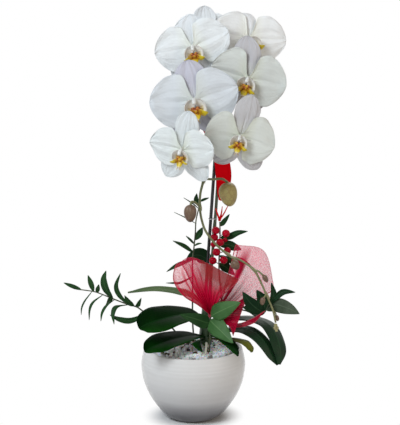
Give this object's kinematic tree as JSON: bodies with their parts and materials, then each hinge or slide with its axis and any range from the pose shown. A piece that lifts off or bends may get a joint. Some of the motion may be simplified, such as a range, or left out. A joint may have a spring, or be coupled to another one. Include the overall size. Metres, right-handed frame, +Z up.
{
  "type": "potted orchid",
  "caption": "White moth orchid on a staked spike in a round glazed pot with gravel, greenery, red berries, a satin ribbon and a net bow.",
  "frame": {"origin": "centre of the pot's flat base, on the surface that it stands on", "axes": "+Z up along the pot's axis; the flowers face -Y; +X is to the right when the flowers are seen from the front"},
  "size_m": [0.3225, 0.1765, 0.5736],
  "materials": {
    "glaze": "light grey-white gloss glaze with fine throwing lines",
    "nursery_plastic": "thin black plastic",
    "bark": "coarse bark chips",
    "marble_chips": "broken white marble",
    "clear_film": "clear crumpled film",
    "clear_clip": "clear plastic",
    "crown_green": "fleshy stem",
    "root_pale": "matt pale root",
    "leaf_green": "thick leathery leaf, satin",
    "leaf_yellow": "yellowing leaf, satin",
    "front_leaf_green": "satin leaf with a pale midrib",
    "sprig_green": "satin leaf and dark stem",
    "spike_green": "smooth fleshy stem",
    "bud_green": "olive bud with brown veins",
    "sepal_white": "matt petal, faint lilac",
    "petal_white": "matt petal with fine veins",
    "lip": "white, yellow and red-brown",
    "berry_red": "glossy berry",
    "stake_black": "black gloss",
    "satin_red": "satin ribbon",
    "net_red": "fine translucent net with wired edges"
  },
  "bodies": {
    "root": {"pot": "glaze", "nursery_pot": "nursery_plastic", "bark_mix": "bark", "gravel": "marble_chips", "liner_film": "clear_film", "crown": "crown_green", "aerial_root": "root_pale", "flower_spike": "spike_green", "tip_buds": "bud_green", "stake": "stake_black", "stake_clip": "clear_clip", "sprig_left": "sprig_green", "sprig_upright": "sprig_green", "sprig_front": "front_leaf_green", "sprig_right": "sprig_green", "leaf_behind_bow": "sprig_green", "berry_branch": "berry_red", "ribbon_tail": "satin_red", "ribbon_knot": "satin_red", "red_streamers": "satin_red", "bow_loop_left": "net_red", "bow_loop_right": "net_red", "bow_tail": "net_red", "bow_tail_small": "net_red", "bow_tie": "net_red", "leaf_left_upper": "leaf_green", "leaf_left_lower": "leaf_green", "leaf_left_back": "leaf_green", "leaf_right_arch": "leaf_green", "leaf_right_outer": "leaf_green", "leaf_over_rim": "leaf_green", "leaf_basal": "leaf_green", "leaf_yellow": "leaf_yellow", "bud_1": "bud_green", "bud_2": "bud_green", "bud_3": "bud_green", "bud_4": "bud_green", "bud_5": "bud_green", "bud_6": "bud_green", "flower_1_sepals": "sepal_white", "flower_1_petals": "petal_white", "flower_1_lip": "lip", "flower_2_sepals": "sepal_white", "flower_2_petals": "petal_white", "flower_2_lip": "lip", "flower_3_sepals": "sepal_white", "flower_3_petals": "petal_white", "flower_3_lip": "lip", "flower_4_sepals": "sepal_white", "flower_4_petals": "petal_white", "flower_4_lip": "lip", "flower_5_sepals": "sepal_white", "flower_5_petals": "petal_white", "flower_5_lip": "lip", "flower_6_sepals": "sepal_white", "flower_6_petals": "petal_white", "flower_6_lip": "lip", "flower_7_sepals": "sepal_white", "flower_7_petals": "petal_white", "flower_7_lip": "lip"}
  },
  "joints": []
}
